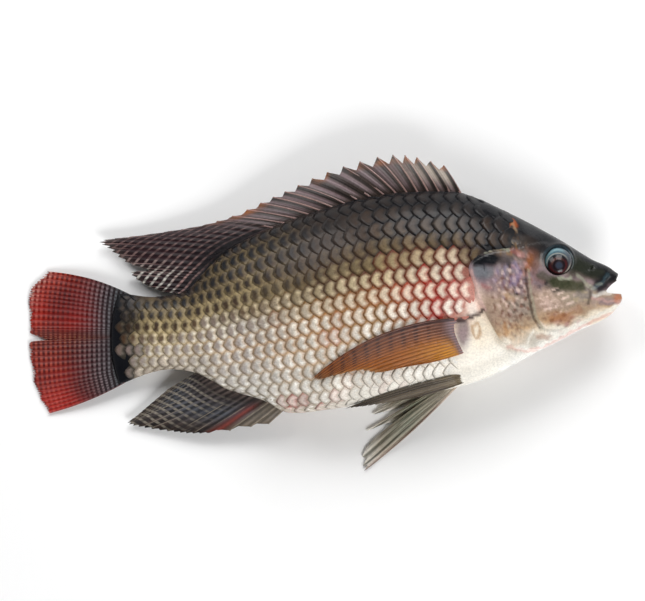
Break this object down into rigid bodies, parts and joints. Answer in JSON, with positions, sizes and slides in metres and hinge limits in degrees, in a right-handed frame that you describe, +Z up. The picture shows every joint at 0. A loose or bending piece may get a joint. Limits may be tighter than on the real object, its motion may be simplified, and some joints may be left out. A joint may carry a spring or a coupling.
{
  "type": "whole raw fish",
  "caption": "Whole raw tilapia-like fish lying on its side: deep scaled body, open mouth, spiny back fin, spread tail, paired side and belly fins.",
  "frame": {"origin": "on the surface the fish lies on, under the middle of its overall box", "axes": "+X towards the snout, +Y towards the back and dorsal fin, +Z up, out of the right flank"},
  "size_m": [0.2976, 0.1588, 0.0474],
  "materials": {
    "skin": "wet scaled skin, olive-black back, blood-red scale rims, white belly",
    "eye": "wet glossy eye, dark red iris, pale blue ring",
    "dorsal_fin": "wet translucent membrane, dark net of spots, mauve spines",
    "tail_fin": "wet membrane, red with dark cells and pale bars",
    "anal_fin": "wet slate membrane with pale spots",
    "pectoral_fin": "wet membrane, orange to tan with fine rays",
    "pelvic_fin": "wet grey-green membrane with brown rays"
  },
  "bodies": {
    "root": {"body": "skin", "eye_right": "eye", "eye_left": "eye", "dorsal_fin": "dorsal_fin", "tail_fin": "tail_fin", "anal_fin": "anal_fin", "pectoral_fin_right": "pectoral_fin", "pectoral_fin_left": "pectoral_fin", "pelvic_fin_right": "pelvic_fin", "pelvic_fin_left": "pelvic_fin"}
  },
  "joints": []
}
